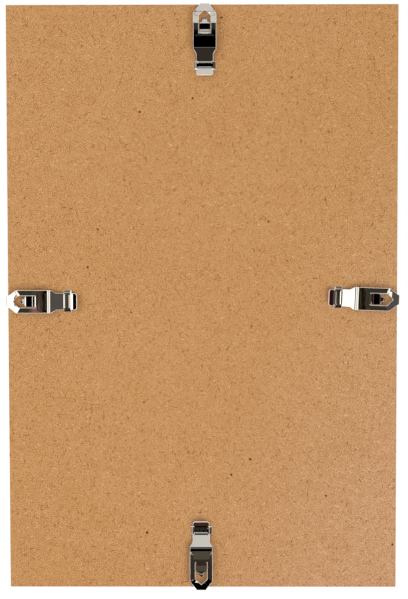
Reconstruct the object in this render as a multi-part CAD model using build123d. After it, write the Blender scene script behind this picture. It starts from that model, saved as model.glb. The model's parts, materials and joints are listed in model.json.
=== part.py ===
"""Clip frame: a frameless picture holder for a 20 x 30 cm print, held by four spring clips.

A glass pane, a paper insert and a hardboard back lie flat on each other, all cut to the
same size. One bent spring clip on each edge hooks over the front of the glass and presses
on the back of the board. The frame stands as it hangs: +Z is up, the glass faces +Y and
the back with its clips faces -Y. The origin is the middle of the whole frame.
"""
from build123d import *
import math
import os

# Sheets
sheet_width = 200.0
sheet_height = 300.0
glass_thickness = 2.0
insert_thickness = 0.25
board_thickness = 3.0
insert_inset = 0.3
board_corner_radius = 0.5
glass_corner_radius = 1.0
glass_arris = 0.2

# Clip metal and the play that it has on the sheets
metal = 0.45
contact_gap = 0.1

# Clip seen from the side, from the front lip round to the lift lip
lip_reach = 3.0
lip_corner_radius = 1.0
tip_rise = 1.25
tip_length = 5.8
tip_slope = 22.0
rail_length = 4.2
rail_slope = 3.5
plate_length = 12.2
neck_length = 7.1
foot_length = 4.3
lift_lip_length = 2.8
lift_lip_slope = 36.0
hook_bend = 0.6
tip_bend = 0.7
crease_bend = 5.0
crest_bend = 8.0
shoulder_bend = 4.0
instep_bend = 2.0
lift_bend = 3.0

# Clip seen from behind
tip_width = 4.8
tip_chamfer_length = 5.2
plate_width = 11.7
tip_corner_radius = 0.5
ring_corner_radius = 0.8
shoulder_length = 2.4
shoulder_overlap = 0.85
shoulder_radius = 1.2
neck_width = 8.7
lift_lip_width = 8.4
lift_lip_corner = 0.9

# Pointed opening that the picture hangs by
opening_start = 3.35
opening_point_length = 2.95
opening_length = 11.95
opening_width = 6.2
opening_point_radius = 0.4
opening_corner_radius = 0.7

# Tongue cut from the opening and pressed down onto the board
tongue_root = 1.0
tongue_joggle_length = 1.7
tongue_flat_length = 3.65
tongue_shoulder_length = 0.6
tongue_nib_length = 2.3
tongue_gap = 0.4
tongue_nib_width = 2.4
tongue_nib_flat = 0.2
tongue_nib_slope = 32.0
tongue_bend = 0.6

# Raised pad that rests on the wall
pad_margin = 0.75
pad_lead = 0.6
pad_setback = 1.6
pad_height = 0.1
pad_corner_radius = 1.0

# Foot: claws that grip the board, and the ribbed grip between them
claw_span = 11.4
claw_length = 4.0
claw_root_width = 8.4
claw_slope = 37.0
claw_bend = 0.6
claw_shoulder = 0.45
claw_corner_radius = 0.9
claw_lap = 0.15
foot_relief = 0.25
ridge_radius = 0.5
ridge_height = 0.25
low_ridge_height = 0.17
rib_count = 7
rib_pitch = 1.05
rib_radius = 0.3
rib_height = 0.15

# How far each clip sits from the middle of its edge and out from the edge, in millimetres,
# and how far the right one is turned, in degrees, so that its inner end sits high
top_shift = 1.4
bottom_shift = -0.8
left_shift = -1.3
right_shift = -0.65
top_play = 0.05
bottom_play = 1.2
left_play = 0.3
right_play = 0.65
right_skew = 2.2

# Extra reach of every cutting shape
overrun = 1.0

# Heights above the board's back face, at the middle of the metal
stack = glass_thickness + insert_thickness + board_thickness
half_metal = metal / 2
lip_level = -stack - contact_gap - half_metal
crease_level = tip_rise + (tip_length - half_metal) * math.tan(math.radians(tip_slope))
plate_level = crease_level + rail_length * math.tan(math.radians(rail_slope))
claw_drop = (claw_span - claw_root_width) / 2 * math.tan(math.radians(claw_slope))
claw_edge = contact_gap + half_metal * math.cos(math.radians(claw_slope))
foot_level = claw_edge + claw_drop
lift_lip_level = foot_level + lift_lip_length * math.tan(math.radians(lift_lip_slope))
nib_level = contact_gap + half_metal * math.cos(math.radians(tongue_nib_slope))
nib_run = tongue_nib_length + tongue_shoulder_length
tongue_level = nib_level + nib_run * math.tan(math.radians(tongue_nib_slope))

# Places along the clip, from the outer face of its web inwards
crest_at = tip_length + rail_length
neck_at = crest_at + plate_length
foot_at = neck_at + neck_length
lift_at = foot_at + foot_length
clip_length = lift_at + lift_lip_length
opening_end = opening_start + opening_length
pad_start = opening_end + pad_lead
pad_end = neck_at - pad_setback
claw_start = foot_at + (foot_length - claw_length) / 2
claw_end = claw_start + claw_length

# Widths that follow from the piece around them
tongue_width = opening_width - 2 * tongue_gap
foot_width = claw_root_width - 2 * claw_shoulder
ridge_width = foot_width - 2 * claw_lap

# Depth of the whole frame, which the origin halves
back_rise = plate_level + half_metal + pad_height
front_rise = contact_gap + metal
back_y = (back_rise - front_rise - stack) / 2


def bent_strip(path, bends, width):
    """Strip of the clip's metal along a side path, with a bend at each inner point."""
    points = [Vector(*point) for point in path]
    runs = [(b - a).normalized() for a, b in zip(points, points[1:])]
    normals = [Vector(-run.Y, run.X) for run in runs]
    outline = []
    radii = []
    for side in (1, -1):
        edge = [points[0] + normals[0] * (half_metal * side)]
        bend_radii = [0]
        for i, bend in enumerate(bends):
            mitre = half_metal * side / (1 + normals[i].dot(normals[i + 1]))
            edge.append(points[i + 1] + (normals[i] + normals[i + 1]) * mitre)
            turn = math.copysign(1, runs[i].cross(runs[i + 1]).Z)
            bend_radii.append(bend - turn * side * half_metal)
        edge.append(points[-1] + normals[-1] * (half_metal * side))
        bend_radii.append(0)
        outline += edge[::side]
        radii += bend_radii[::side]
    face = make_face(FilletPolyline(*outline, radius=radii, close=True))
    return extrude(face, amount=width / 2, both=True)


def plan_prism(half_outline, radii, low, high):
    """Prism on a plan outline that is the same on both sides of the clip's middle line."""
    points = half_outline + [(s, -w) for s, w in reversed(half_outline) if w > 0]
    corner_radii = radii + [r for (s, w), r in zip(reversed(half_outline), reversed(radii)) if w > 0]
    plane = Plane(origin=(0, low, 0), x_dir=(1, 0, 0), z_dir=(0, 1, 0))
    face = plane * make_face(FilletPolyline(*points, radius=corner_radii, close=True))
    return extrude(face, amount=high - low)


def spring_strip():
    """Lip, web, rising tip, plate, neck, foot and lift lip as one bent band."""
    path = [
        (lip_reach, lip_level),
        (half_metal, lip_level),
        (half_metal, tip_rise),
        (tip_length, crease_level),
        (crest_at, plate_level),
        (neck_at, plate_level),
        (foot_at, foot_level),
        (lift_at, foot_level),
        (clip_length, lift_lip_level),
    ]
    bends = [hook_bend, tip_bend, crease_bend, crest_bend, shoulder_bend, instep_bend, lift_bend]
    return bent_strip(path, bends, plate_width)


def back_outline():
    """Outline of the part that shows behind the board: tip, plate, neck, foot and lift lip."""
    shoulder_at = neck_at + shoulder_overlap
    outline = [
        (0, tip_width / 2),
        (metal, tip_width / 2),
        (tip_chamfer_length, plate_width / 2),
        (shoulder_at, plate_width / 2),
        (shoulder_at + shoulder_length, neck_width / 2),
        (claw_start - foot_relief, neck_width / 2),
        (claw_start - foot_relief, foot_width / 2),
        (claw_end + foot_relief, foot_width / 2),
        (claw_end + foot_relief, lift_lip_width / 2),
        (clip_length - lift_lip_corner, lift_lip_width / 2),
        (clip_length + overrun, lift_lip_width / 2 - lift_lip_corner - overrun),
    ]
    radii = [0, tip_corner_radius, ring_corner_radius, shoulder_radius, shoulder_radius]
    radii += [0] * (len(outline) - len(radii))
    return plan_prism(outline, radii, 0, back_rise + lift_lip_level)


def lip_outline():
    """Outline of the narrow hook: the web down the sheets' edge and the lip on the glass."""
    outline = [(-overrun, tip_width / 2), (lip_reach, tip_width / 2)]
    return plan_prism(outline, [0, lip_corner_radius], lip_level - metal, 0)


def hanging_opening():
    """Pointed opening through the tip and the plate, with the tongue's place inside it."""
    outline = [
        (opening_start, 0),
        (opening_start + opening_point_length, opening_width / 2),
        (opening_end, opening_width / 2),
    ]
    radii = [opening_point_radius, 0, opening_corner_radius]
    return plan_prism(outline, radii, 0, plate_level + metal + overrun)


def tongue():
    """Springy tongue: steps down from the opening's inner edge and ends in a nib on the board."""
    joggle_end = opening_end - tongue_joggle_length
    flat_end = joggle_end - tongue_flat_length
    nib_at = flat_end - nib_run
    path = [
        (opening_end + tongue_root, plate_level),
        (opening_end, plate_level),
        (joggle_end, tongue_level),
        (flat_end, tongue_level),
        (nib_at, nib_level),
    ]
    strip = bent_strip(path, [tongue_bend] * 3, tongue_width)
    outline = [
        (nib_at, tongue_nib_width / 2),
        (flat_end - tongue_shoulder_length, tongue_nib_width / 2),
        (flat_end, tongue_width / 2),
        (opening_end + tongue_root + overrun, tongue_width / 2),
    ]
    nib_radius = (tongue_nib_width - tongue_nib_flat) / 2
    return strip & plan_prism(outline, [nib_radius, 0, 0, 0], 0, plate_level + metal)


def pad(inset, low, high):
    """Prism on the pad's outline, drawn in by an inset, between two heights."""
    half_width = plate_width / 2 - pad_margin - inset
    outline = [(pad_start + inset, half_width), (pad_end - inset, half_width)]
    return plan_prism(outline, [pad_corner_radius - inset] * 2, low, high)


def claws():
    """The two wings of the foot, bent down at the sides until their edges meet the board."""
    path = [
        (claw_span / 2, claw_edge),
        (claw_root_width / 2, foot_level),
        (foot_width / 2 - claw_lap, foot_level),
    ]
    wing = bent_strip(path, [claw_bend], claw_length)
    side_plane = Plane(origin=(claw_start + claw_length / 2, 0, 0), x_dir=(0, 0, 1), z_dir=(-1, 0, 0))
    wing = side_plane * wing
    outline = [
        (claw_start, claw_span / 2 + metal),
        (claw_end, claw_span / 2 + metal),
    ]
    wing = wing & plan_prism(outline, [claw_corner_radius + metal] * 2, 0, plate_level)
    return [wing, wing.mirror(Plane.XY)]


def grip():
    """Two cross ridges on the foot with a row of short ribs between them."""
    top = foot_level + half_metal
    ridge_at = claw_start + ridge_radius
    low_ridge_at = ridge_at + rib_length() + ridge_radius
    pieces = []
    for s, height in [(ridge_at, ridge_height), (low_ridge_at, low_ridge_height)]:
        ridge = Cylinder(ridge_radius, ridge_width)
        pieces.append(Pos(s, top - ridge_radius + height, 0) * ridge)
    for i in range(rib_count):
        w = (i - (rib_count - 1) / 2) * rib_pitch
        rib = Rot(0, 90, 0) * Cylinder(rib_radius, rib_length())
        pieces.append(Pos((ridge_at + low_ridge_at) / 2, top - rib_radius + rib_height, w) * rib)
    outline = [(foot_at, ridge_width / 2), (lift_at, ridge_width / 2)]
    above_middle = plan_prism(outline, [0, 0], foot_level, top + ridge_height + overrun)
    return [piece & above_middle for piece in pieces]


def rib_length():
    """Length of the ribs, which fill the flat of the foot between its two ridges."""
    lift_bend_run = lift_bend * math.tan(math.radians(lift_lip_slope) / 2)
    return claw_length - 2 * ridge_radius - lift_bend_run


def spring_clip():
    """The whole clip in its own frame: X runs inwards from its web, Y away from the board."""
    strip = spring_strip()
    clip = (strip & back_outline()) + (strip & lip_outline())
    clip = clip - hanging_opening()
    clip = clip + tongue()
    clip = clip + pad(0, plate_level, plate_level + half_metal + pad_height)
    clip = clip - pad(metal, plate_level - metal, plate_level - half_metal + pad_height)
    clip = clip + claws()
    clip = clip + grip()
    return clip.clean()


def sheet(inset, thickness, depth, corner_radius):
    """Flat sheet with its back face at a depth behind the board's back, square to the view."""
    size = (sheet_width - 2 * inset, thickness, sheet_height - 2 * inset)
    blank = Pos(0, back_y + depth + thickness / 2, 0) * Box(*size)
    return fillet(blank.edges().filter_by(Axis.Y), corner_radius) if corner_radius else blank


def glass_pane():
    """Float glass with dubbed corners and a ground arris round both faces."""
    depth = board_thickness + insert_thickness
    pane = sheet(0, glass_thickness, depth, glass_corner_radius)
    faces = pane.faces().sort_by(Axis.Y)
    rims = faces[0].edges() + faces[-1].edges()
    return chamfer(rims, glass_arris)


def clip_places():
    """Where each clip's web meets its edge: a plane whose X runs inwards and Y backwards."""
    side = sheet_width / 2 + metal
    end = sheet_height / 2 + metal
    top = Plane((top_shift, back_y, end + top_play), x_dir=(0, 0, -1), z_dir=(-1, 0, 0))
    bottom = Plane((bottom_shift, back_y, -end - bottom_play), x_dir=(0, 0, 1), z_dir=(1, 0, 0))
    left = Plane((-side - left_play, back_y, left_shift), x_dir=(1, 0, 0), z_dir=(0, 0, -1))
    right = Plane((side + right_play, back_y, right_shift), x_dir=(-1, 0, 0), z_dir=(0, 0, 1))
    return {
        "clip_top": top,
        "clip_bottom": bottom,
        "clip_left": left,
        "clip_right": Plane(right * Rot(0, -right_skew, 0)),
    }


def write(name, solid):
    solid.label = name
    export_step(solid, os.path.join("parts", name + ".step"))


os.makedirs("parts", exist_ok=True)
write("back_board", sheet(0, board_thickness, 0, board_corner_radius))
write("insert_sheet", sheet(insert_inset, insert_thickness, board_thickness, 0))
write("glass_pane", glass_pane())
clip = spring_clip()
for name, place in clip_places().items():
    write(name, place * clip)
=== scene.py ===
"""Clip frame seen from its back: a hardboard back, a paper insert and a glass pane, held by
four nickel-plated spring clips. Sizes are in millimetres until a mesh or a lamp is made."""
import json
import math

import bmesh
import bpy
import numpy as np
from mathutils import Matrix, Vector, kdtree
from mathutils.geometry import delaunay_2d_cdt


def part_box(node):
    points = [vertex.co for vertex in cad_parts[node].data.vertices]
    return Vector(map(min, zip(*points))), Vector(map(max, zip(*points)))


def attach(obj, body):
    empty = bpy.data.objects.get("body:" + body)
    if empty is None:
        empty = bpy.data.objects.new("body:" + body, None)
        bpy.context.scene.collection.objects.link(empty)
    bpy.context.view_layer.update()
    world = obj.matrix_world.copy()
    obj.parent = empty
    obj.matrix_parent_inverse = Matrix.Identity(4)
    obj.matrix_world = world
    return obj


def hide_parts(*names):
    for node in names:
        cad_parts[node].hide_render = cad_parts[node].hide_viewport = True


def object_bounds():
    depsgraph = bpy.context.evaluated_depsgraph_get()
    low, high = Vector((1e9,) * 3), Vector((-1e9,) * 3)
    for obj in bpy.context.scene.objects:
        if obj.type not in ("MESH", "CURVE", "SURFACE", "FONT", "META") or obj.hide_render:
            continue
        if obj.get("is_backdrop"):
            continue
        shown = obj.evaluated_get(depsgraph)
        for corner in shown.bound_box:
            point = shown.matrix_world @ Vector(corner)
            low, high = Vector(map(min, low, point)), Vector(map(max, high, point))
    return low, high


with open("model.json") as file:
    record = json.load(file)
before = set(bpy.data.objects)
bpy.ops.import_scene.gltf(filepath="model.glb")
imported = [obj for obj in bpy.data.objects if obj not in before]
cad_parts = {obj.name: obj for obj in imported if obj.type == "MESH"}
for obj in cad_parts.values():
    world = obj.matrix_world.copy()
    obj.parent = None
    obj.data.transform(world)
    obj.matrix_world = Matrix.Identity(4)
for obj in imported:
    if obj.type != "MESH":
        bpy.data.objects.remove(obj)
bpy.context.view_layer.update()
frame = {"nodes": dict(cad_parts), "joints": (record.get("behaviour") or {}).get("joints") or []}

MM = 0.001

# Sheets, measured on the frame, and the ground edge and air film of the glass
board_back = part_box("back_board")[0].y
glass_low, glass_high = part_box("glass_pane")
stack = (glass_high.y - board_back) / MM
glass_seam = 0.3
air_film = 0.02

# Clip seen from the side: places along it and heights above the board, at mid metal
metal = 0.45
contact_gap = 0.1
lip_reach = 3.0
lip_level = -stack - contact_gap - metal / 2
tip_rise = 1.25
crease_at = 5.8
crease_level = 3.502
crease_slant = 0.6
crease_spread = 2.6
crest_at = 10.0
plate_level = 3.759
bow_at = 21.93
neck_at = 23.1
neck_level = 3.565
foot_at = 29.3
foot_level = 1.41
lift_at = 33.6
clip_length = 36.4
lift_lip_level = 3.444
side_points = [(lip_reach, lip_level), (metal / 2, lip_level), (metal / 2, tip_rise),
               (crease_at, crease_level), (crest_at, plate_level), (bow_at, plate_level),
               (neck_at, neck_level), (foot_at, foot_level), (lift_at, foot_level),
               (clip_length, lift_lip_level)]
side_bends = [0.6, 0.7, 5.0, 8.0, 12.0, 1.2, 2.0, 3.0]

# Clip seen from behind: half widths and corner radii of the blank
tip_half = 2.4
plate_half = 5.85
neck_half = 4.35
foot_half = 3.75
chamfer_end = 5.2
shoulder_at = 23.05
shoulder_length = 2.4
claw_start = 29.45
claw_end = 33.45
relief = 0.25
lift_half = 4.2
lift_corner = 0.9
lip_radius = 1.0
tip_radius = 0.5
ring_radius = 0.8
shoulder_radius = 1.2
claw_radius = 0.9

# Pointed opening, and the tongue that is cut out of it and stepped down to the board
opening_start = 3.35
opening_wide_at = 6.3
opening_end = 15.3
opening_half = 3.1
opening_point_radius = 0.4
slot_end_radius = 0.35
tongue_lead = 0.28
tongue_half = 2.7
joggle_end = 13.6
flat_end = 9.95
tongue_level = 2.103
tongue_end_level = 2.15
nib_at = 7.05
nib_level = 0.291
nib_half = 1.2
nib_shoulder = 0.7
nib_radius = 1.1
tongue_points = [(opening_end, plate_level), (opening_end - tongue_lead, plate_level),
                 (joggle_end, tongue_level), (flat_end, tongue_end_level), (nib_at, nib_level)]
tongue_bends = [0.6, 0.6, 0.6]

# Claws, seen along the clip: half width and height of the metal's middle
claw_points = [(0.0, 0.0), (4.2, 0.0), (4.75, -0.15), (5.7, -1.13)]
claw_bends = [0.6, 0.8]

# Raised pad, and the grip on the foot: two ridges with ribs between them
pad_start = 15.9
pad_end = 20.6
pad_margin = 0.75
pad_corner = 1.0
pad_height = 0.008
pad_edge = 0.8
pressed_edge = 0.5
ridge_half = 0.5
ridge_height = 0.25
low_ridge_half = 0.35
low_ridge_height = 0.08
ridge_gap = 2.525
rib_pitch = 1.05
rib_half = 0.3
rib_height = 0.02

# Rim that the die rolls over as it shears the strip, and the rounding of the cut edge. The net
# keeps off the cut by one share of the rim's width, and cut faces, which carry a painted highlight,
# lie within the other share
die_roll = 0.13
net_share = 0.95
cut_share = 0.8
edge_radius = 0.21
edge_steps = 3
edge_from = 50

# Spacing of the mesh, and of its finer zones
row_step = 0.22
column_step = 0.6
fine_step = 0.14
rim_step = 0.12
hook_points = 22
sliver = 0.0001


def rounded(points, radii, closed=False, steps=9):
    """Points along a path whose corners are rounded to the given radii."""
    points = [np.array(point, float) for point in points]
    corners = points if closed else points[1:-1]
    befores = points[-1:] + points[:-1] if closed else points[:-2]
    afters = points[1:] + points[:1] if closed else points[2:]
    dense = []
    for before, corner, after, radius in zip(befores, corners, afters, radii):
        if not radius:
            dense.append(corner)
            continue
        back = (before - corner) / np.linalg.norm(before - corner)
        ahead = (after - corner) / np.linalg.norm(after - corner)
        half_angle = math.acos(float(back @ ahead)) / 2
        turn = math.pi - 2 * half_angle
        centre = corner + (back + ahead) / np.linalg.norm(back + ahead) * radius / math.sin(half_angle)
        first = corner + back * radius / math.tan(half_angle) - centre
        last = corner + ahead * radius / math.tan(half_angle) - centre
        for share in np.linspace(0, 1, steps + 1):
            spoke = first * math.sin((1 - share) * turn) + last * math.sin(share * turn)
            dense.append(centre + spoke / math.sin(turn))
    return np.array(dense if closed else [points[0]] + dense + [points[-1]])


def lengths_along(path):
    """Length from the start of a path to each of its points."""
    runs = np.linalg.norm(np.diff(path, axis=0), axis=1)
    return np.concatenate([[0], np.cumsum(runs)])


def resampled(loop, step):
    """Points of a closed loop, with more on its long sides, so that none is longer than step."""
    dense = []
    for start, end in zip(loop, np.roll(loop, -1, axis=0)):
        count = max(1, math.ceil(np.linalg.norm(end - start) / step))
        dense += [start + (end - start) * i / count for i in range(count)]
    return np.array(dense)


def inside(points, loop):
    """Which points lie inside a closed loop."""
    found = np.zeros(len(points), bool)
    for (s0, w0), (s1, w1) in zip(loop, np.roll(loop, -1, axis=0)):
        crosses = (w0 > points[:, 1]) != (w1 > points[:, 1])
        if w0 != w1:
            at = s0 + (points[:, 1] - w0) / (w1 - w0) * (s1 - s0)
            found ^= crosses & (points[:, 0] < at)
    return found


def mirrored(half, radii):
    """A closed outline from its half on one side of the middle line, with its corner radii."""
    other = [(s, -w) for s, w in reversed(half) if w > 0]
    other_radii = [r for (s, w), r in zip(reversed(half), reversed(radii)) if w > 0]
    return rounded(half + other, radii + other_radii, closed=True)


side_path = rounded(side_points, side_bends)
side_lengths = lengths_along(side_path)
tongue_path = rounded(tongue_points, tongue_bends)
tongue_lengths = lengths_along(tongue_path)
claw_path = rounded(claw_points, claw_bends)
claw_reach = lengths_along(claw_path)[-1]


def unrolled(place):
    """Where a place along the bent clip lies on its flat blank, from the lip's edge."""
    behind = side_path[:, 1] > 0
    return float(np.interp(place, side_path[behind, 0], side_lengths[behind]))


def tongue_unrolled(place):
    """How far from the tongue's root a place along the bent tongue lies on the blank."""
    return float(np.interp(-place, -tongue_path[:, 0], tongue_lengths))


tongue_root = unrolled(opening_end)
tongue_shoulder = tongue_root - tongue_unrolled(flat_end)
nib_root = tongue_shoulder - nib_shoulder
tongue_tip = tongue_root - tongue_lengths[-1]


def blank_outline():
    """Outline of the flat blank, as it is stamped from the strip."""
    inner_end = side_lengths[-1]
    half = [
        (0, tip_half, lip_radius),
        (unrolled(metal), tip_half, tip_radius),
        (unrolled(chamfer_end), plate_half, ring_radius),
        (unrolled(shoulder_at), plate_half, shoulder_radius),
        (unrolled(shoulder_at + shoulder_length), neck_half, shoulder_radius),
        (unrolled(claw_start - relief), neck_half, 0),
        (unrolled(claw_start - relief), foot_half, 0),
        (unrolled(claw_start), foot_half, 0),
        (unrolled(claw_start), claw_reach, claw_radius),
        (unrolled(claw_end), claw_reach, claw_radius),
        (unrolled(claw_end), foot_half, 0),
        (unrolled(claw_end + relief), foot_half, 0),
        (unrolled(claw_end + relief), lift_half, 0),
        (inner_end - lift_corner, lift_half, 0),
        (inner_end, lift_half - lift_corner, 0),
    ]
    return mirrored([(s, w) for s, w, r in half], [r for s, w, r in half])


def opening_outline():
    """Outline of what is cut out of the blank: the pointed opening, less the tongue in it."""
    half = [
        (unrolled(opening_start), 0, opening_point_radius),
        (unrolled(opening_wide_at), opening_half, 0),
        (tongue_root, opening_half, slot_end_radius),
        (tongue_root, tongue_half, 0),
        (tongue_shoulder, tongue_half, 0),
        (nib_root, nib_half, 0),
        (tongue_tip, nib_half, nib_radius),
    ]
    return mirrored([(s, w) for s, w, r in half], [r for s, w, r in half])


def zone(first, last, half, row, column):
    """Points of a regular net over a stretch of the blank."""
    rows = np.linspace(first, last, max(2, round((last - first) / row)) + 1)
    columns = np.linspace(-half, half, 2 * round(half / column) + 1)
    return np.array([(s, w) for s in rows for w in columns]), (first, last, half)


def net_points():
    """The net of points that the blank is divided by, finer where it is pressed or bent."""
    hook = side_lengths[1:hook_points]
    fine_zones = [
        zone(hook[0] - fine_step, hook[-1] + fine_step, tip_half, rim_step, column_step),
        zone(tongue_tip, tongue_root - rim_step, tongue_half, rim_step, column_step / 2),
        zone(unrolled(pad_start), unrolled(pad_end), plate_half, fine_step, fine_step),
        zone(unrolled(foot_at), unrolled(lift_at), claw_reach, fine_step, fine_step),
    ]
    points, _ = zone(0, side_lengths[-1], claw_reach, row_step, column_step)
    for fine, (first, last, half) in fine_zones:
        taken = (points[:, 0] > first - row_step / 2) & (points[:, 0] < last + row_step / 2)
        taken &= np.abs(points[:, 1]) < half + column_step / 3
        points = np.concatenate([points[~taken], fine])
    return points


def blank_mesh():
    """The flat blank as a mesh in the plane of its length and width, in metres."""
    outline = resampled(blank_outline(), rim_step)
    opening = resampled(opening_outline(), rim_step)
    rim = np.concatenate([outline, opening])
    near = kdtree.KDTree(len(rim))
    for i, (s, w) in enumerate(rim):
        near.insert((s, w, 0), i)
    near.balance()
    ring = []
    for loop, turn in ((outline, 1), (opening, -1)):
        along = np.roll(loop, -1, axis=0) - np.roll(loop, 1, axis=0)
        along = along / np.linalg.norm(along, axis=1)[:, None]
        area = np.sum(loop[:, 0] * np.roll(loop[:, 1], -1) - loop[:, 1] * np.roll(loop[:, 0], -1))
        ring.append(loop + along @ [[0, 1], [-1, 0]] * die_roll * turn * np.sign(area))
    net = np.concatenate([net_points()] + ring)
    net = net[inside(net, outline) & ~inside(net, opening)]
    reach = np.array([near.find((s, w, 0))[2] for s, w in net])
    net = net[reach > die_roll * net_share]
    points = [Vector(p) for p in rim] + [Vector(p) for p in net]
    first = len(outline)
    edges = [(i, (i + 1) % first) for i in range(first)]
    edges += [(first + i, first + (i + 1) % len(opening)) for i in range(len(opening))]
    flat, _, faces, *_ = delaunay_2d_cdt(points, edges, [], 0, 1e-6)
    flat = np.array([tuple(p) for p in flat])
    corners = flat[np.array(faces)]
    sides = corners[:, 1:] - corners[:, :1]
    areas = np.abs(sides[:, 0, 0] * sides[:, 1, 1] - sides[:, 0, 1] * sides[:, 1, 0]) / 2
    centres = corners.mean(axis=1)
    kept = inside(centres, outline) & ~inside(centres, opening) & (areas > sliver)
    mesh = bpy.data.meshes.new("clip_blank")
    places = [(s * MM, 0, w * MM) for s, w in flat]
    mesh.from_pydata(places, [], [tuple(reversed(face)) for face, keep in zip(faces, kept) if keep])
    # Faces along the cut edges, off the tongue, get the near-white painted edge highlight
    on_tongue = (centres[kept, 0] > tongue_shoulder + relief) & (centres[kept, 0] < tongue_root)
    on_tongue &= np.abs(centres[kept, 1]) < tongue_half
    at_cut = [near.find((s, w, 0))[2] < die_roll * cut_share for s, w in centres[kept]] & ~on_tongue
    attribute = mesh.attributes.new("at_cut", "BOOLEAN", "FACE")
    attribute.data.foreach_set("value", at_cut)
    return mesh


def linear(hex_colour):
    """An sRGB hex colour as linear RGB with alpha."""
    channels = [int(hex_colour[i:i + 2], 16) / 255 for i in (1, 3, 5)]
    bent = [c / 12.92 if c <= 0.04045 else ((c + 0.055) / 1.055) ** 2.4 for c in channels]
    return (*bent, 1.0)


def node(tree, kind, inputs=None, **settings):
    """Adds a node to a tree with its settings, and sets or links its inputs by name or number."""
    made = tree.nodes.new(kind)
    for name, value in settings.items():
        setattr(made, name, value)
    for key, value in (inputs or {}).items():
        if isinstance(value, bpy.types.NodeSocket):
            tree.links.new(value, made.inputs[key])
        else:
            made.inputs[key].default_value = value
    return made


def path_curve(name, path):
    """A side path as a curve in the plane of the clip's length and height, in metres."""
    curve = bpy.data.curves.new(name, "CURVE")
    curve.dimensions = "3D"
    spline = curve.splines.new("POLY")
    spline.points.add(len(path) - 1)
    for point, (s, h) in zip(spline.points, path):
        point.co = (s * MM, h * MM, 0, 1)
    holder = bpy.data.objects.new(name, curve)
    bpy.context.scene.collection.objects.link(holder)
    return holder


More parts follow.
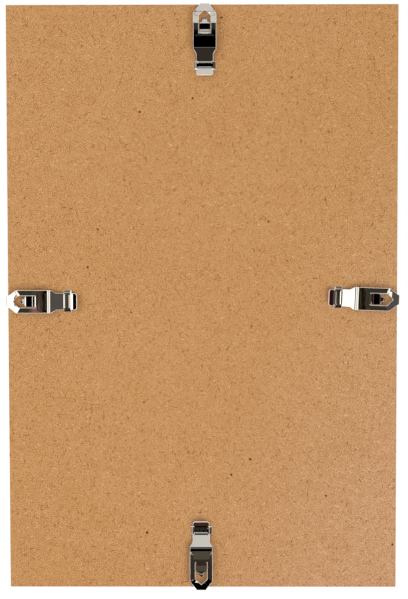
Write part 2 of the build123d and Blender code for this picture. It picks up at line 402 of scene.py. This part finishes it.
def press_tree(sizes):
    """The press tool: bends a flat blank along its side paths and raises its pad and ribs."""
    tree = bpy.data.node_groups.new("press_clip", "GeometryNodeTree")
    tree.interface.new_socket("Geometry", in_out="INPUT", socket_type="NodeSocketGeometry")
    for name, value in sizes.items():
        kind = "NodeSocketFloat"
        if isinstance(value, bpy.types.Object):
            kind = "NodeSocketObject"
        if isinstance(value, bpy.types.Material):
            kind = "NodeSocketMaterial"
        tree.interface.new_socket(name, in_out="INPUT", socket_type=kind)
    tree.interface.new_socket("Geometry", in_out="OUTPUT", socket_type="NodeSocketGeometry")
    given = node(tree, "NodeGroupInput").outputs

    # Where each point lies on the blank: along it, across it, and how far off its middle line
    place = node(tree, "GeometryNodeInputPosition").outputs[0]
    parts = node(tree, "ShaderNodeSeparateXYZ", {0: place}).outputs
    along, across = parts["X"], parts["Z"]
    off = node(tree, "ShaderNodeMath", {0: across}, operation="ABSOLUTE").outputs[0]
    side = node(tree, "ShaderNodeMath", {0: across}, operation="SIGN").outputs[0]

    # The three side paths: the whole strip, its tongue and its claws
    def follow(path_name, length):
        """Position and direction on a side path at a length from its start."""
        path = node(tree, "GeometryNodeObjectInfo", {"Object": given[path_name]})
        return node(tree, "GeometryNodeSampleCurve",
                    {"Curves": path.outputs["Geometry"], "Length": length}, mode="LENGTH").outputs

    to_root = node(tree, "ShaderNodeMath", {0: given["Tongue Root"], 1: along},
                   operation="SUBTRACT").outputs[0]
    strip = follow("Side Path", along)

    # The crease runs slanting over each arm of the tip, nearer to the lip at its outer edge
    to_crease = node(tree, "ShaderNodeMath", {0: along, 1: given["Crease Place"]},
                     operation="SUBTRACT").outputs[0]
    nearness = node(tree, "ShaderNodeMath", {0: to_crease}, operation="ABSOLUTE").outputs[0]
    nearness = node(tree, "ShaderNodeMapRange",
                    {"Value": nearness, "From Min": given["Crease Spread"], "From Max": 0.0,
                     "To Max": given["Crease Slant"]}, interpolation_type="SMOOTHSTEP").outputs[0]
    off_arm = node(tree, "ShaderNodeMath", {0: off, 1: given["Arm Middle"]},
                   operation="SUBTRACT").outputs[0]
    slant = node(tree, "ShaderNodeMath", {0: off_arm, 1: nearness, 2: along},
                 operation="MULTIPLY_ADD").outputs[0]
    slanted = node(tree, "ShaderNodeSeparateXYZ",
                   {0: follow("Side Path", slant)["Position"]}).outputs["Y"]
    level = node(tree, "ShaderNodeSeparateXYZ", {0: strip["Position"]}).outputs
    strip_point = node(tree, "ShaderNodeCombineXYZ", {0: level["X"], 1: slanted}).outputs[0]
    tongue = follow("Tongue Path", to_root)
    claw = follow("Claw Path", off)
    outwards = node(tree, "ShaderNodeVectorMath", {0: (0, 0, 1), 1: strip["Tangent"]},
                    operation="CROSS_PRODUCT").outputs[0]

    def raised(distance, reach, height):
        """A soft bump: full height at no distance, none at its reach."""
        return node(tree, "ShaderNodeMapRange",
                    {"Value": distance, "From Min": reach, "From Max": 0.0, "To Max": height},
                    interpolation_type="SMOOTHSTEP").outputs[0]

    def apart(value, middle):
        """Distance of a value from a middle."""
        gap = node(tree, "ShaderNodeMath", {0: value, 1: middle}, operation="SUBTRACT").outputs[0]
        return node(tree, "ShaderNodeMath", {0: gap}, operation="ABSOLUTE").outputs[0]

    # Pad: a plateau with rounded corners and a soft pressed edge
    beyond = []
    for value, half in ((apart(along, given["Pad Middle"]), given["Pad Half Length"]),
                        (off, given["Pad Half Width"])):
        straight = node(tree, "ShaderNodeMath", {0: half, 1: given["Pad Corner"]},
                        operation="SUBTRACT").outputs[0]
        past = node(tree, "ShaderNodeMath", {0: value, 1: straight},
                    operation="SUBTRACT").outputs[0]
        beyond.append(node(tree, "ShaderNodeMath", {0: past, 1: 0.0},
                           operation="MAXIMUM").outputs[0])
    corner = node(tree, "ShaderNodeCombineXYZ", {0: beyond[0], 1: beyond[1]}).outputs[0]
    radius = node(tree, "ShaderNodeVectorMath", {0: corner}, operation="LENGTH").outputs["Value"]
    plateau = node(tree, "ShaderNodeMath", {0: given["Pad Corner"], 1: given["Pad Edge"]},
                   operation="SUBTRACT").outputs[0]
    lift = node(tree, "ShaderNodeMapRange",
                {"Value": radius, "From Min": given["Pad Corner"], "From Max": plateau,
                 "To Max": given["Pad Height"]}, interpolation_type="SMOOTHSTEP").outputs[0]

    # Grip: two ridges across the foot, and a row of ribs at an even pitch between them
    pitch_half = node(tree, "ShaderNodeMath", {0: given["Rib Pitch"], 1: 0.5},
                      operation="MULTIPLY").outputs[0]
    to_rib = node(tree, "ShaderNodeMath", {0: off, 1: pitch_half}, operation="PINGPONG").outputs[0]
    rib = raised(to_rib, given["Rib Half Width"], given["Rib Height"])
    row = node(tree, "ShaderNodeMath", {0: apart(along, given["Rib Middle"]),
                                        1: given["Rib Half Length"]}, operation="LESS_THAN").outputs[0]
    bumps = [node(tree, "ShaderNodeMath", {0: rib, 1: row}, operation="MULTIPLY").outputs[0]]
    for name in ("Ridge", "Low Ridge"):
        bumps.append(raised(apart(along, given[name + " Place"]), given[name + " Half Width"],
                            given[name + " Height"]))
    width = node(tree, "ShaderNodeMapRange",
                 {"Value": off, "From Min": given["Grip Half Width"],
                  "From Max": given["Grip Flat Width"]}, interpolation_type="SMOOTHSTEP").outputs[0]
    for bump in bumps:
        held = node(tree, "ShaderNodeMath", {0: bump, 1: width}, operation="MULTIPLY").outputs[0]
        lift = node(tree, "ShaderNodeMath", {0: lift, 1: held}, operation="MAXIMUM").outputs[0]

    # Claws: turned down from the foot, so their points move across and down
    on_claw = node(tree, "GeometryNodeInputNamedAttribute", {"Name": "on_claw"}).outputs[0]
    on_tongue = node(tree, "GeometryNodeInputNamedAttribute", {"Name": "on_tongue"}).outputs[0]
    claw_parts = node(tree, "ShaderNodeSeparateXYZ", {0: claw["Position"]}).outputs
    drop = node(tree, "ShaderNodeMath", {0: claw_parts["Y"], 1: on_claw},
                operation="MULTIPLY").outputs[0]
    claw_across = node(tree, "ShaderNodeMath", {0: claw_parts["X"], 1: side},
                       operation="MULTIPLY").outputs[0]
    width_place = node(tree, "ShaderNodeMix", {0: on_claw, 2: across, 3: claw_across}).outputs[0]
    height = node(tree, "ShaderNodeMath", {0: lift, 1: drop}, operation="ADD").outputs[0]
    moved = node(tree, "ShaderNodeVectorMath", {0: outwards, "Scale": height},
                 operation="SCALE").outputs[0]
    bent = node(tree, "ShaderNodeVectorMath", {0: strip_point, 1: moved},
                operation="ADD").outputs[0]
    body = node(tree, "ShaderNodeMix", {0: on_tongue, 4: bent, 5: tongue["Position"]},
                data_type="VECTOR").outputs[1]
    body_parts = node(tree, "ShaderNodeSeparateXYZ", {0: body}).outputs
    final = node(tree, "ShaderNodeCombineXYZ",
                 {0: body_parts["X"], 1: body_parts["Y"], 2: width_place}).outputs[0]

    strip_place = node(tree, "ShaderNodeCombineXYZ", {0: along, 1: across}).outputs[0]
    kept = node(tree, "GeometryNodeStoreNamedAttribute",
                {"Geometry": given["Geometry"], "Name": "strip", "Value": strip_place},
                data_type="FLOAT_VECTOR", domain="POINT").outputs[0]
    pressed = node(tree, "GeometryNodeSetPosition",
                   {"Geometry": kept, "Position": final}).outputs[0]
    real = node(tree, "GeometryNodeRealizeInstances", {0: pressed}).outputs[0]
    dressed = node(tree, "GeometryNodeSetMaterial",
                   {"Geometry": real, "Material": given["Material"]}).outputs[0]
    # Faces along the cut edges take the second material, the near-white painted edge highlight
    at_cut = node(tree, "GeometryNodeInputNamedAttribute", {"Name": "at_cut"},
                  data_type="BOOLEAN").outputs[0]
    dressed = node(tree, "GeometryNodeSetMaterial",
                   {"Geometry": dressed, "Selection": at_cut,
                    "Material": given["Edge Material"]}).outputs[0]
    node(tree, "NodeGroupOutput", {0: dressed})
    return tree


def mark(mesh, name, chosen):
    """Writes a yes or no on each point of a mesh, for the press tool to read."""
    attribute = mesh.attributes.new(name, "FLOAT", "POINT")
    attribute.data.foreach_set("value", np.asarray(chosen, np.float32))


def pressed_clip(plating, highlight_material):
    """One clip in its own frame: X runs inwards from the web, Y away from the board, in metres."""
    mesh = blank_mesh()
    mesh.materials.append(plating)
    mesh.materials.append(highlight_material)
    flat = np.array([tuple(v.co) for v in mesh.vertices]) / MM
    off = np.abs(flat[:, 2])
    in_foot = (flat[:, 0] > unrolled(claw_start) - relief / 2)
    in_foot &= flat[:, 0] < unrolled(claw_end) + relief / 2
    mark(mesh, "on_claw", in_foot & (off > foot_half - relief))
    in_nib = (flat[:, 0] > tongue_tip - relief) & (off < nib_half + relief)
    in_wide = (flat[:, 0] > nib_root - relief) & (off < tongue_half + relief)
    mark(mesh, "on_tongue", (in_nib | in_wide) & (flat[:, 0] < tongue_root))
    blank = bpy.data.objects.new("clip_blank", mesh)
    bpy.context.scene.collection.objects.link(blank)
    ridge_at = unrolled(claw_start + ridge_half)
    low_ridge_at = ridge_at + ridge_gap
    sizes = {
        "Side Path": path_curve("side_path", side_path),
        "Tongue Path": path_curve("tongue_path", tongue_path),
        "Claw Path": path_curve("claw_path", claw_path),
        "Tongue Root": tongue_root * MM,
        "Crease Place": unrolled(crease_at) * MM,
        "Crease Spread": crease_spread * MM,
        "Crease Slant": crease_slant,
        "Arm Middle": (opening_half + plate_half) / 2 * MM,
        "Pad Middle": unrolled((pad_start + pad_end) / 2) * MM,
        "Pad Half Length": (pad_end - pad_start) / 2 * MM,
        "Pad Half Width": (plate_half - pad_margin) * MM,
        "Pad Corner": pad_corner * MM,
        "Pad Edge": pad_edge * MM,
        "Pad Height": pad_height * MM,
        "Ridge Place": ridge_at * MM,
        "Ridge Half Width": ridge_half * MM,
        "Ridge Height": ridge_height * MM,
        "Low Ridge Place": low_ridge_at * MM,
        "Low Ridge Half Width": low_ridge_half * MM,
        "Low Ridge Height": low_ridge_height * MM,
        "Rib Middle": (ridge_at + low_ridge_at) / 2 * MM,
        "Rib Half Length": ridge_gap / 2 * MM,
        "Rib Pitch": rib_pitch * MM,
        "Rib Half Width": rib_half * MM,
        "Rib Height": rib_height * MM,
        "Grip Half Width": foot_half * MM,
        "Grip Flat Width": (foot_half - pressed_edge) * MM,
        "Material": plating,
        "Edge Material": highlight_material,
    }
    tree = press_tree(sizes)
    press = blank.modifiers.new("press", "NODES")
    press.node_group = tree
    for socket in tree.interface.items_tree:
        if socket.in_out == "INPUT" and socket.name in sizes:
            press[socket.identifier] = sizes[socket.name]
    thickness = blank.modifiers.new("thickness", "SOLIDIFY")
    thickness.thickness = metal * MM
    thickness.offset = 0
    thickness.use_even_offset = True
    thickness.use_quality_normals = True
    # The cut walls here, and the rounded edges below, take the second material: the painted edge
    # highlight
    thickness.material_offset_rim = 1
    edges = blank.modifiers.new("edges", "BEVEL")
    edges.width = edge_radius * MM
    edges.segments = edge_steps
    edges.material = 1
    edges.limit_method = "ANGLE"
    edges.angle_limit = math.radians(edge_from)
    bpy.context.view_layer.update()
    solid = bpy.data.meshes.new_from_object(
        blank.evaluated_get(bpy.context.evaluated_depsgraph_get()))
    for made in [blank] + [sizes[name] for name in ("Side Path", "Tongue Path", "Claw Path")]:
        bpy.data.objects.remove(made)
    for polygon in solid.polygons:
        polygon.use_smooth = True
    return solid


def material(name):
    """An empty material with a Principled shader, and that shader."""
    made = bpy.data.materials.new(name)
    made.use_nodes = True
    made.node_tree.nodes.clear()
    shader = made.node_tree.nodes.new("ShaderNodeBsdfPrincipled")
    node(made.node_tree, "ShaderNodeOutputMaterial", {"Surface": shader.outputs[0]})
    return made, shader


def nickel_plate():
    """Bright nickel on rolled strip: mirror-like, slightly warm, with a faint grain and ripple."""
    # Rolling lines are finer than 0.08 mm, which is as coarse as they need to be to show
    grain_length, grain_width, grain_depth = 6, 0.08, 0.0001
    ripple_width, ripple_depth = 2.4, 0.0013
    smoothest, roughest = 0.01, 0.035
    made, shader = material("bright_nickel_plate")
    tree = made.node_tree
    shader.inputs["Metallic"].default_value = 1.0
    shader.inputs["Base Color"].default_value = linear("#C7C2BA")
    where = node(tree, "ShaderNodeAttribute", attribute_name="strip").outputs["Vector"]
    grain_place = node(tree, "ShaderNodeVectorMath",
                       {0: where, 1: (1 / (grain_length * MM), 1 / (grain_width * MM), 1)},
                       operation="MULTIPLY")
    grain = node(tree, "ShaderNodeTexNoise", {"Vector": grain_place.outputs[0], "Scale": 1.0,
                                              "Detail": 2.0}, noise_dimensions="2D").outputs[0]
    ripple = node(tree, "ShaderNodeTexNoise", {"Vector": where, "Scale": 1 / (ripple_width * MM),
                                               "Detail": 1.0}, noise_dimensions="2D").outputs[0]
    rough = node(tree, "ShaderNodeMapRange", {"Value": grain, "To Min": smoothest, "To Max": roughest})
    tree.links.new(rough.outputs[0], shader.inputs["Roughness"])
    wave = node(tree, "ShaderNodeBump", {"Height": ripple, "Strength": 1.0,
                                         "Distance": ripple_depth * MM}).outputs[0]
    scored = node(tree, "ShaderNodeBump", {"Height": grain, "Strength": 1.0, "Normal": wave,
                                           "Distance": grain_depth * MM}).outputs[0]
    tree.links.new(scored, shader.inputs["Normal"])
    return made


def painted_edge_highlight():
    """Cut edges of the strip and a thin band beside them, as a painted highlight: near-white and
    mostly diffuse, so that they catch light from all round.
    """
    made, shader = material("painted_highlight_edge")
    shader.inputs["Metallic"].default_value = 0.1
    shader.inputs["Base Color"].default_value = linear("#FFFCF4")
    shader.inputs["Roughness"].default_value = 0.5
    return made


def hardboard():
    """Pressed wood fibre: tan, softly mottled, with short light and dark fibres and a few flecks."""
    # Real fibres are about 0.1 mm wide, so they are drawn three times as coarse to show
    grain, fibre_width, fibre_stretch, fleck_pitch, relief_depth = 0.3, 0.32, 0.09, 14, 0.06
    made, shader = material("hardboard_smooth_face")
    tree = made.node_tree
    shader.inputs["Roughness"].default_value = 0.75
    shader.inputs["Specular IOR Level"].default_value = 0.25
    where = node(tree, "ShaderNodeTexCoord").outputs["Object"]

    def noise(size, detail, low, high, vector=where):
        """Noise with grains of a size in millimetres, spread from low to high."""
        raw = node(tree, "ShaderNodeTexNoise", {"Vector": vector, "Scale": 1 / (size * MM),
                                                "Detail": detail}).outputs[0]
        return node(tree, "ShaderNodeMapRange", {"Value": raw, "From Min": 0.3, "From Max": 0.7,
                                                 "To Min": low, "To Max": high}).outputs[0]

    # Mottling, from the single grains to the stains of the press: size, darkest and lightest
    shade = noise(grain, 0.0, 0.63, 1.37)
    for size, low, high in ((1.3, 0.985, 1.015), (3.0, 0.98, 1.02), (12.0, 0.985, 1.015),
                            (60.0, 0.985, 1.015)):
        layer = noise(size, 2.0, low, high)
        shade = node(tree, "ShaderNodeMath", {0: shade, 1: layer}, operation="MULTIPLY").outputs[0]

    # Fibres: noise drawn out along some directions, of which only the peaks show
    for turn, level in ((0.4, 1.3), (1.5, 0.45), (2.6, 1.3), (0.9, 0.45), (2.1, 0.45), (0.1, 0.45)):
        turned = node(tree, "ShaderNodeVectorRotate", {"Vector": where, "Angle": turn,
                                                       "Axis": (0, 1, 0)}).outputs[0]
        drawn = node(tree, "ShaderNodeVectorMath", {0: turned, 1: (fibre_stretch, 1, 1)},
                     operation="MULTIPLY").outputs[0]
        raw = node(tree, "ShaderNodeTexNoise", {"Vector": drawn, "Scale": 1 / (fibre_width * MM),
                                                "Detail": 0.0}).outputs[0]
        fibre = node(tree, "ShaderNodeMapRange", {"Value": raw, "From Min": 0.775, "From Max": 0.825,
                                                  "To Min": 1.0, "To Max": level}).outputs[0]
        shade = node(tree, "ShaderNodeMath", {0: shade, 1: fibre}, operation="MULTIPLY").outputs[0]

    # Flecks of bark, and the colour, which gets redder where it is darker, and a painted sheen that
    # makes it paler to one corner
    cells = node(tree, "ShaderNodeTexVoronoi", {"Vector": where, "Scale": 1 / (fleck_pitch * MM)})
    fleck = node(tree, "ShaderNodeMapRange", {"Value": cells.outputs["Distance"], "From Min": 0.03,
                                              "From Max": 0.05, "To Min": 0.06, "To Max": 1.0})
    shade = node(tree, "ShaderNodeMath", {0: shade, 1: fleck.outputs[0]},
                 operation="MULTIPLY").outputs[0]
    greener, bluer = [node(tree, "ShaderNodeMath", {0: shade, 1: power}, operation="POWER").outputs[0]
                      for power in (1.6, 3.0)]
    tint = node(tree, "ShaderNodeCombineXYZ", {0: shade, 1: greener, 2: bluer}).outputs[0]
    # Painted sheen: the base colour turns paler towards the lower right corner, standing in for the
    # light's sheen on the board there
    spot = node(tree, "ShaderNodeSeparateXYZ", {0: where}).outputs
    corner = node(tree, "ShaderNodeMath", {0: spot["Z"], 1: -0.6, 2: spot["X"]},
                  operation="MULTIPLY_ADD").outputs[0]
    pale = node(tree, "ShaderNodeMapRange", {"Value": corner, "From Min": 0.02, "From Max": 0.2},
                interpolation_type="SMOOTHSTEP").outputs[0]
    base = node(tree, "ShaderNodeMix", {0: pale, 6: linear("#BE8B53"), 7: linear("#C39466")},
                data_type="RGBA").outputs[2]
    colour = node(tree, "ShaderNodeVectorMath", {0: base, 1: tint}, operation="MULTIPLY").outputs[0]
    tree.links.new(colour, shader.inputs["Base Color"])
    rise = node(tree, "ShaderNodeBump", {"Height": shade, "Strength": 0.6,
                                         "Distance": relief_depth * MM}).outputs[0]
    tree.links.new(rise, shader.inputs["Normal"])
    return made


def print_paper():
    """Bright white card of the insert."""
    made, shader = material("white_insert_card")
    shader.inputs["Base Color"].default_value = linear("#F1F0EC")
    shader.inputs["Roughness"].default_value = 0.7
    return made


def float_glass():
    """Clear float glass, faintly green."""
    made, shader = material("clear_float_glass")
    shader.inputs["Base Color"].default_value = linear("#FBFEFC")
    shader.inputs["Transmission Weight"].default_value = 1.0
    shader.inputs["IOR"].default_value = 1.52
    shader.inputs["Roughness"].default_value = 0.0
    return made


def seamed_glass(made):
    """The glass pane with its sharp edges ground off, a hair off the insert behind it."""
    low = glass_low + Vector((0, air_film * MM, 0))
    mesh = bpy.data.meshes.new("seamed_glass")
    shape = bmesh.new()
    bmesh.ops.create_cube(shape, size=1.0)
    for corner in shape.verts:
        corner.co = [(a + b) / 2 + c * (b - a) for a, b, c in zip(low, glass_high, corner.co)]
    bmesh.ops.bevel(shape, geom=shape.edges[:], offset=glass_seam * MM, segments=1,
                    affect="EDGES")
    shape.to_mesh(mesh)
    shape.free()
    mesh.materials.append(made)
    pane = bpy.data.objects.new("seamed_glass", mesh)
    bpy.context.scene.collection.objects.link(pane)
    return pane


def stage_panel(name, corner, width, height, made):
    """A flat panel of the stage from one corner and two edges, in metres."""
    corner, width, height = Vector(corner), Vector(width), Vector(height)
    mesh = bpy.data.meshes.new(name)
    places = [corner, corner + width, corner + width + height, corner + height]
    mesh.from_pydata([tuple(p) for p in places], [], [(0, 1, 2, 3)])
    mesh.materials.append(made)
    panel = bpy.data.objects.new(name, mesh)
    bpy.context.scene.collection.objects.link(panel)
    panel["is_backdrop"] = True
    return panel


def shown(tree):
    """1 for a ray that shows what it meets: to the camera, in a mirror or through glass."""
    path = node(tree, "ShaderNodeLightPath").outputs
    either = node(tree, "ShaderNodeMath", {0: path["Is Camera Ray"], 1: path["Is Glossy Ray"]},
                  operation="MAXIMUM").outputs[0]
    return node(tree, "ShaderNodeMath", {0: either, 1: path["Is Transmission Ray"]},
                operation="MAXIMUM").outputs[0]


def glow(name, hex_colour, strength=1.0):
    """A flat colour that gives off its own light, for the cards that the metal mirrors."""
    made = bpy.data.materials.new(name)
    made.use_nodes = True
    made.node_tree.nodes.clear()
    light = node(made.node_tree, "ShaderNodeEmission", {"Color": linear(hex_colour),
                                                        "Strength": strength}).outputs[0]
    node(made.node_tree, "ShaderNodeOutputMaterial", {"Surface": light})
    return made


def card(name, made, corner, width, height):
    """A card that shows only in the metal and puts no light or shadow on the frame."""
    panel = stage_panel(name, corner, width, height, made)
    panel.visible_camera = False
    panel.visible_diffuse = False
    panel.visible_transmission = False
    panel.visible_shadow = False


def soft_lamp(name, place, aim, width, height, watts):
    """A rectangular softbox that faces a point, in metres and watts."""
    lamp = bpy.data.lights.new(name, "AREA")
    lamp.shape = "RECTANGLE"
    lamp.size = width
    lamp.size_y = height
    lamp.energy = watts
    holder = bpy.data.objects.new(name, lamp)
    holder.location = place
    away = Vector(place) - Vector(aim)
    holder.rotation_euler = away.to_track_quat("Z", "Y").to_euler()
    bpy.context.scene.collection.objects.link(holder)
    return holder


# Clips: one pressing, set in the place of each CAD clip and free to turn with it
pressing = pressed_clip(nickel_plate(), painted_edge_highlight())
joints = {joint["child"]: joint for joint in frame["joints"]}
for name, joint in joints.items():
    outwards = Vector((0, -1, 0))
    axis = Vector(joint["axis"]).normalized()
    inwards = outwards.cross(axis)
    origin = Vector(joint["pos_m"]) - inwards * lip_reach * MM + outwards * stack * MM
    turned = Matrix((inwards, outwards, axis)).transposed().to_4x4()
    placed = pressing.copy()
    placed.transform(Matrix.Translation(origin) @ turned)
    piece = bpy.data.objects.new("spring_" + name, placed)
    bpy.context.scene.collection.objects.link(piece)
    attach(piece, name)
    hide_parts(name)

# Sheets: a glass pane with ground edges, and the CAD nodes of the others with better materials
glass = seamed_glass(float_glass())
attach(glass, "sheets")
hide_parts("glass_pane")
for name, made in (("back_board", hardboard()), ("insert_sheet", print_paper())):
    for i in range(len(frame["nodes"][name].material_slots)):
        frame["nodes"][name].material_slots[i].material = made

# Floor, in metres: pale, white to the camera but for the frame's soft shadow, and clear of the
# open bottom clip
floor_reach = 2
floor_drop = 12 * MM
floor_paint = bpy.data.materials.new("white_floor")
floor_paint.use_nodes = True
tree = floor_paint.node_tree
tree.nodes.clear()
pale = node(tree, "ShaderNodeBsdfDiffuse", {"Color": linear("#E7E7E7")}).outputs[0]
shaded = node(tree, "ShaderNodeBsdfDiffuse", {"Color": linear("#AAAAAA")}).outputs[0]
lit = node(tree, "ShaderNodeEmission", {"Color": linear("#FFFFFF"), "Strength": 0.85}).outputs[0]
bright = node(tree, "ShaderNodeAddShader", {0: shaded, 1: lit}).outputs[0]
chosen = node(tree, "ShaderNodeMixShader", {0: shown(tree), 1: pale, 2: bright}).outputs[0]
node(tree, "ShaderNodeOutputMaterial", {"Surface": chosen})
floor = stage_panel("floor", (-floor_reach, -floor_reach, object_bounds()[0].z - floor_drop),
                    (2 * floor_reach, 0, 0), (0, 2 * floor_reach, 0), floor_paint)
floor.visible_glossy = False
floor.visible_shadow = False

# Colours of the cards
black = glow("black_card", "#000000")
grey_brown = glow("grey_brown_card", "#696461")
maroon = glow("maroon_card", "#3F191D")
brown = glow("brown_card", "#5F5145")
olive = glow("olive_card", "#45433A")
khaki = glow("khaki_card", "#63593D")
pink = glow("pink_card", "#A87976")
taupe = glow("taupe_card", "#655D50")
peat = glow("peat_card", "#423C36")
umber = glow("umber_card", "#553C35")
tan = glow("tan_card", "#897C6C")
rose = glow("rose_card", "#D4C2BD")
rose_grey = glow("rose_grey_card", "#CEBCB6")
grey = glow("grey_card", "#7C7C7C")
daylight = glow("window", "#FFFFFC", 1.7)

# Cards, in metres, set so that each facet of the plating has its tone. First a row of upright
# strips behind the camera for the left and right clips: the left edge and width of each
card_wall = -1.2
strip_foot = -0.2
strip_height = 0.28
for name, made, left, width in (
        ("strip_1", olive, -0.42, 0.203), ("strip_2", brown, -0.217, 0.012),
        ("strip_3", khaki, -0.1775, 0.0105), ("strip_4", khaki, 0.135, 0.016),
        ("strip_5", brown, 0.1735, 0.003), ("strip_6", brown, 0.1815, 0.0045),
        ("strip_7", olive, 0.186, 0.224)):
    card(name, made, (left, card_wall, strip_foot), (width, 0, 0), (0, 0, strip_height))

# A low window with a post in its middle, nearer by, for the ends of their plates
window_wall = -1.0
window_foot = -0.1
window_height = 0.07
for name, made, left, width in (("window_left", daylight, -0.14, 0.113),
                                ("window_post", grey, -0.027, 0.032),
                                ("window_right", daylight, 0.005, 0.11)):
    card(name, made, (left, window_wall, window_foot), (width, 0, 0), (0, 0, window_height))

# The rest, each from one corner and two edges: behind the camera, above, beside and below
for name, made, corner, width, height in (
        ("behind_camera", black, (-0.52, -1.25, -0.39), (0.95, 0, 0), (0, 0, 0.7)),
        ("pink_patch", pink, (-0.217, -1.19, -0.2), (0.0093, 0, 0), (0, 0, 0.121)),
        ("above_camera", olive, (-0.1, card_wall, 0.2445), (0.2, 0, 0), (0, 0, 0.055)),
        ("below_camera", taupe, (-0.0255, card_wall, -0.3925), (0.024, 0, 0), (0, 0, 0.0475)),
        ("beam_left", tan, (-0.195, card_wall, 0.33), (0.05, 0, 0), (0, 0, 2.2)),
        ("beam_right", tan, (0.1, card_wall, 1.5), (0.16, 0, 0), (0, 0, 1.03)),
        ("beam_foot", rose, (0.1, card_wall, 0.33), (0.16, 0, 0), (0, 0, 1.17)),
        ("rafter_left", tan, (-0.2, -0.95, 1.2), (0.06, 0, 0), (0, 1.05, 0)),
        ("rafter_right", tan, (0.03, -0.95, 1.2), (0.24, 0, 0), (0, 1.05, 0)),
        ("side_window", daylight, (0.2, -0.96, -0.88), (0.58, 0.29, 0), (0, 0, 0.73)),
        ("low_window", daylight, (-1.5, -1.24, -0.9), (1, 0, 0), (0, 0, 0.65)),
        ("low_wall", peat, (-0.5, -1.24, -0.9), (2, 0, 0), (0, 0, 0.508)),
        ("right_wall", grey_brown, (0.41, -1.25, -1.2), (0.52, 0.806, 0), (0, 0, 1.52)),
        ("far_right_wall", maroon, (0.93, -0.444, -1.2), (0.32, 0.494, 0), (0, 0, 2.4)),
        ("floor_near", black, (-1.5, -1.25, -0.9), (3, 0, 0), (0, 0.85, -0.05)),
        ("floor_far", umber, (-1.5, -0.4, -0.95), (3, 0, 0), (0, 0.8, -0.05)),
        ("beside_top_clip", rose_grey, (-0.3, -0.6, 0.1), (0, 0.65, 0), (0, 0, 0.14)),
        ("beside_bottom_clip", rose_grey, (-0.3, -0.6, -0.32), (0, 0.65, 0), (0, 0, 0.2)),
        ("right_of_bottom_clip", peat, (0.16, -0.35, -0.24), (0, 0.4, 0), (0, 0, 0.13)),
        ("left_end", black, (-1.3, -0.37, -1.2), (0, 0.62, 0), (0, 0, 2.4)),
        ("right_end", black, (1.2, -0.5, -1.2), (0, 0.6, 0), (0, 0, 2.4))):
    card(name, made, corner, width, height)

# Light: a softbox on the left, a weaker one from below on the right, and an even grey room
# that is white where it shows
soft_lamp("left_softbox", (-0.77, -0.77, 0.25), (0, 0, 0), 1.02, 0.95, 5.0)
lower_lamp = soft_lamp("lower_lamp", (0.42, -0.85, -0.42), (0, 0, 0), 0.75, 0.6, 6.7)
lower_lamp.visible_glossy = False
world = bpy.data.worlds.new("studio")
bpy.context.scene.world = world
world.use_nodes = True
tree = world.node_tree
tree.nodes.clear()
white = node(tree, "ShaderNodeBackground", {"Color": linear("#FFFFFF")}).outputs[0]
even = node(tree, "ShaderNodeBackground", {"Color": linear("#BCBCBC")}).outputs[0]
mixed = node(tree, "ShaderNodeMixShader", {0: shown(tree), 1: even, 2: white}).outputs[0]
node(tree, "ShaderNodeOutputWorld", {"Surface": mixed})

# Camera: fitted to the board's four corners in the photograph
eye = Vector((9.776, -900.81, 56.80)) * MM
right = Vector((0.99995, 0.00986, -0.00161))
up = Vector((0.00098, 0.06348, 0.99798))
lens = bpy.data.cameras.new("camera")
lens.lens = 105.374
lens.sensor_width = 36
camera = bpy.data.objects.new("camera", lens)
turn = Matrix((right, up, right.cross(up))).transposed().to_4x4()
camera.matrix_world = Matrix.Translation(eye) @ turn
bpy.context.scene.collection.objects.link(camera)
bpy.context.scene.camera = camera

bpy.context.scene.view_settings.view_transform = "Standard"
